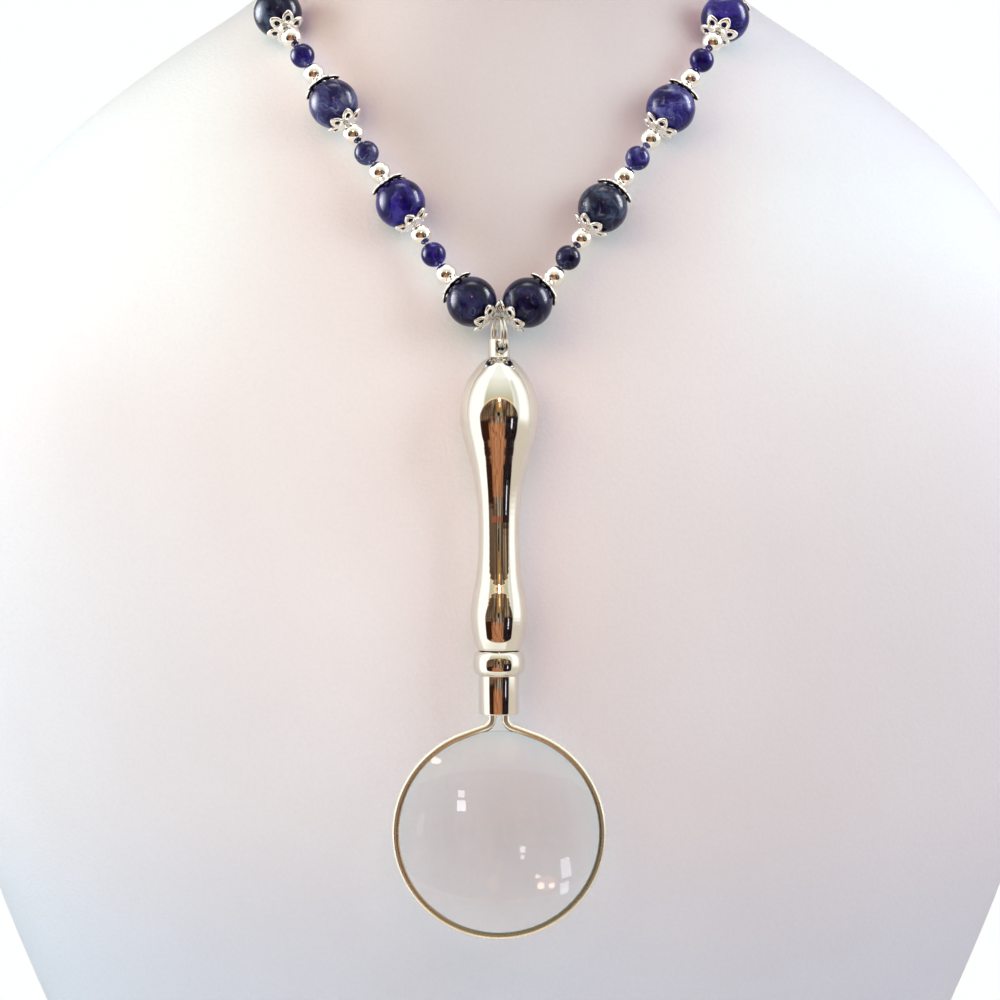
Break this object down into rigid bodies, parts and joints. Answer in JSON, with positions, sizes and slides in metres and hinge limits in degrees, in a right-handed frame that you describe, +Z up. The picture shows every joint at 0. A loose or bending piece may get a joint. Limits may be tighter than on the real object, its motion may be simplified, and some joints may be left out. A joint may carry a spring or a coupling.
{
  "type": "magnifier pendant necklace on a neck bust",
  "caption": "String of stone and silver beads with a silver-handled magnifying glass as its pendant, on a neck bust.",
  "frame": {"origin": "middle of the bust's flat base", "axes": "+Z up, towards the top of the neck; -Y the way the chest faces; +X to the wearer's left"},
  "size_m": [0.3024, 0.1458, 0.38],
  "materials": {
    "bust_skin": "fine grained, matte",
    "thread": "coated beading thread",
    "blue_stone": "polished dark blue stone with pale veins",
    "bead_silver": "polished silver",
    "cap_silver": "polished pierced silver",
    "silver": "polished silver",
    "lens_glass": "clear polished"
  },
  "bodies": {
    "necklace": {"bust": "bust_skin", "thread": "thread", "clasp": "silver", "large_stone_right_1": "blue_stone", "large_stone_right_2": "blue_stone", "large_stone_right_3": "blue_stone", "large_stone_right_4": "blue_stone", "large_stone_right_5": "blue_stone", "large_stone_right_6": "blue_stone", "large_stone_right_7": "blue_stone", "large_stone_right_8": "blue_stone", "large_stone_left_1": "blue_stone", "large_stone_left_2": "blue_stone", "large_stone_left_3": "blue_stone", "large_stone_left_4": "blue_stone", "large_stone_left_5": "blue_stone", "large_stone_left_6": "blue_stone", "large_stone_left_7": "blue_stone", "large_stone_left_8": "blue_stone", "small_stone_right_1": "blue_stone", "small_stone_right_2": "blue_stone", "small_stone_right_3": "blue_stone", "small_stone_right_4": "blue_stone", "small_stone_right_5": "blue_stone", "small_stone_right_6": "blue_stone", "small_stone_right_7": "blue_stone", "small_stone_right_8": "blue_stone", "small_stone_left_1": "blue_stone", "small_stone_left_2": "blue_stone", "small_stone_left_3": "blue_stone", "small_stone_left_4": "blue_stone", "small_stone_left_5": "blue_stone", "small_stone_left_6": "blue_stone", "small_stone_left_7": "blue_stone", "small_stone_left_8": "blue_stone", "silver_beads_right": "bead_silver", "silver_beads_left": "bead_silver", "bead_caps_right": "cap_silver", "bead_caps_left": "cap_silver"},
    "rings": {"jump_ring_front": "silver", "jump_ring_back": "silver"},
    "magnifier": {"handle": "silver", "ferrule": "silver", "lens_frame": "silver", "lens": "lens_glass"}
  },
  "joints": [
    {"name": "swing", "type": "hinge", "parent": "necklace", "child": "rings", "pos_m": [0, -0.07465, 0.211], "axis": [-1, 0, 0], "range_deg": [0, 45]},
    {"name": "sway", "type": "hinge", "parent": "rings", "child": "magnifier", "pos_m": [0, -0.07465, 0.2049], "axis": [0, 1, 0], "range_deg": [-12, 12]}
  ]
}
